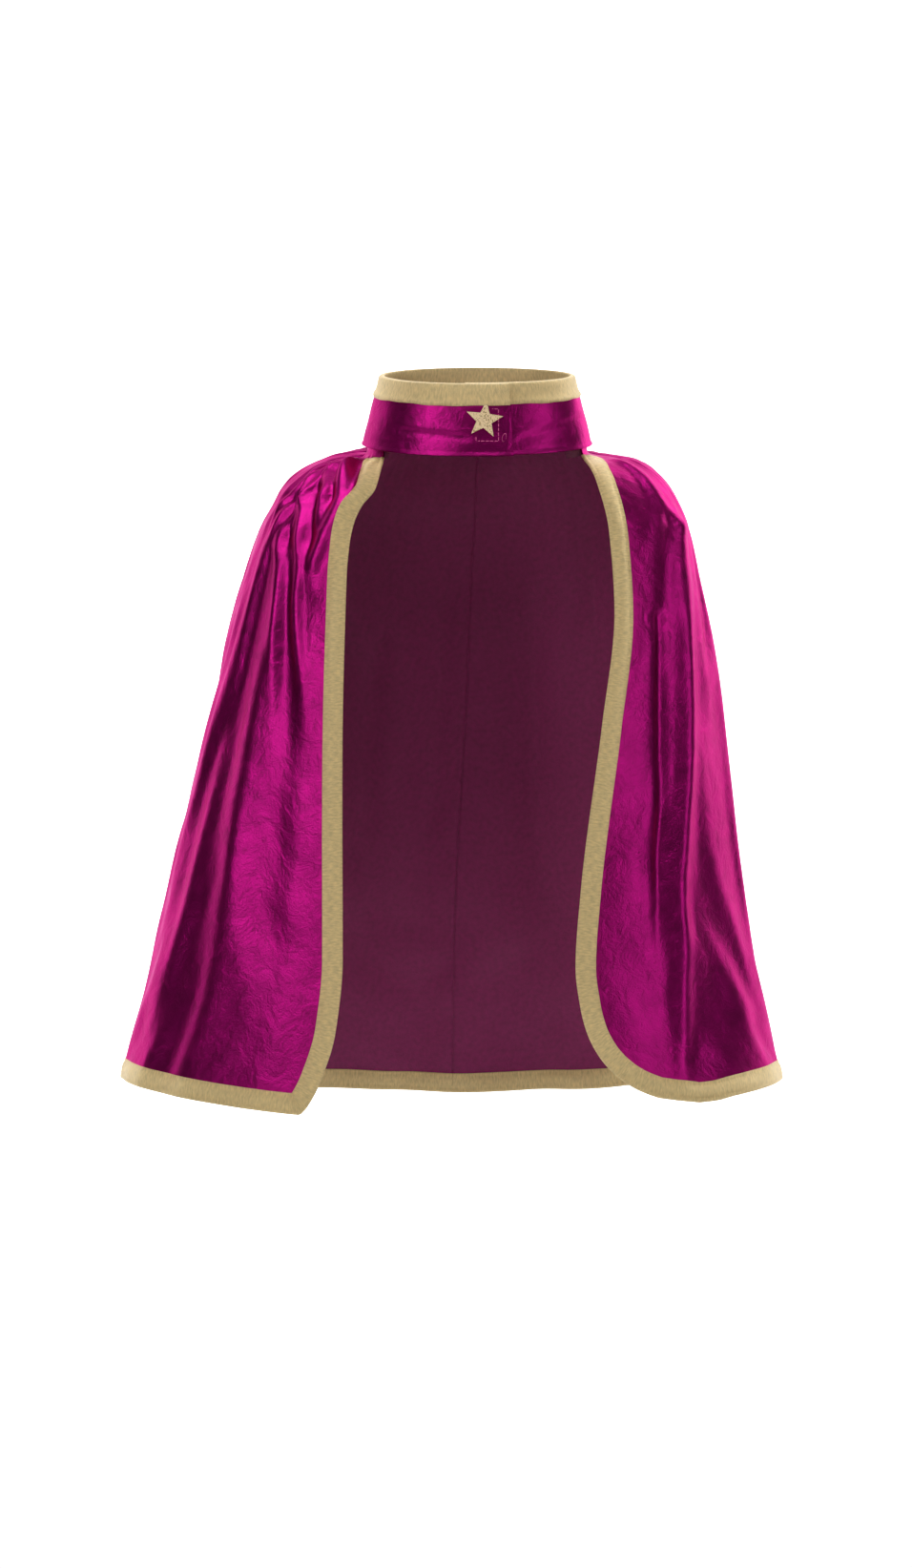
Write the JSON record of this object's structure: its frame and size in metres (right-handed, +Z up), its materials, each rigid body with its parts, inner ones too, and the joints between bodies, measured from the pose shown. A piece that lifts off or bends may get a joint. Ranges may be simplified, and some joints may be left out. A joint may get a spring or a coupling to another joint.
{
  "type": "costume cape",
  "caption": "Child's dress-up cape in magenta foil cloth with gold binding, a stand collar with a hook-and-loop front and a glitter star, in its worn shape.",
  "frame": {"origin": "centre of the collar's seam ring, on the wearer's neck axis", "axes": "+Z up, the wearer faces -Y, the wearer's left is +X"},
  "size_m": [0.4489, 0.2414, 0.5081],
  "materials": {
    "magenta_foil": "metallic foil-coated cloth, fine crinkle",
    "gold_lame": "woven metallic bias tape",
    "gold_glitter": "glitter-covered",
    "pink_thread": "twisted polyester thread",
    "stiffener": "non-woven, matt",
    "hook_tape": "moulded hooks on a woven ground",
    "loop_tape": "brushed loops",
    "neck_tape": "plain woven tape",
    "label": "blank satin"
  },
  "bodies": {
    "cape_back": {"right_back_panel": "magenta_foil", "left_back_panel": "magenta_foil", "right_neck_binding": "gold_lame", "left_neck_binding": "gold_lame", "right_hem_binding": "gold_lame", "left_hem_binding": "gold_lame", "collar_back_band": "magenta_foil", "collar_back_stiffener": "stiffener", "collar_back_facing": "gold_lame", "collar_back_binding": "gold_lame", "neck_tape": "neck_tape", "care_label": "label"},
    "overlap_end": {"collar_overlap_band": "magenta_foil", "collar_overlap_stiffener": "stiffener", "collar_overlap_facing": "gold_lame", "collar_overlap_binding": "gold_lame", "hook_patch": "hook_tape", "hook_stitching": "pink_thread", "collar_star": "gold_glitter"},
    "underlap_end": {"collar_underlap_band": "magenta_foil", "collar_underlap_stiffener": "stiffener", "collar_underlap_facing": "gold_lame", "collar_underlap_binding": "gold_lame", "loop_patch": "loop_tape", "loop_stitching": "pink_thread"},
    "right_front": {"right_front_panel": "magenta_foil", "right_front_binding": "gold_lame"},
    "left_front": {"left_front_panel": "magenta_foil", "left_front_binding": "gold_lame"}
  },
  "joints": [
    {"name": "overlap_end_swing", "type": "hinge", "parent": "cape_back", "child": "overlap_end", "pos_m": [-0.0705, -0.02923, -0.00675], "axis": [-0.3122, 0.2137, -0.9257], "range_deg": [0, 95]},
    {"name": "underlap_end_swing", "type": "hinge", "parent": "cape_back", "child": "underlap_end", "pos_m": [0.0683, -0.02923, -0.00675], "axis": [-0.3397, -0.2116, 0.9164], "range_deg": [0, 45]},
    {"name": "right_front_swing", "type": "hinge", "parent": "cape_back", "child": "right_front", "pos_m": [-0.155, 0, -0.062], "axis": [-0.2345, 0, -0.9721], "range_deg": [0, 40]},
    {"name": "left_front_swing", "type": "hinge", "parent": "cape_back", "child": "left_front", "pos_m": [0.1515, 0, -0.062], "axis": [-0.1618, 0, 0.9868], "range_deg": [0, 40]}
  ],
  "couplings": [
    {"joint": "underlap_end_swing", "follows": "overlap_end_swing", "ratio": 0.45}
  ]
}
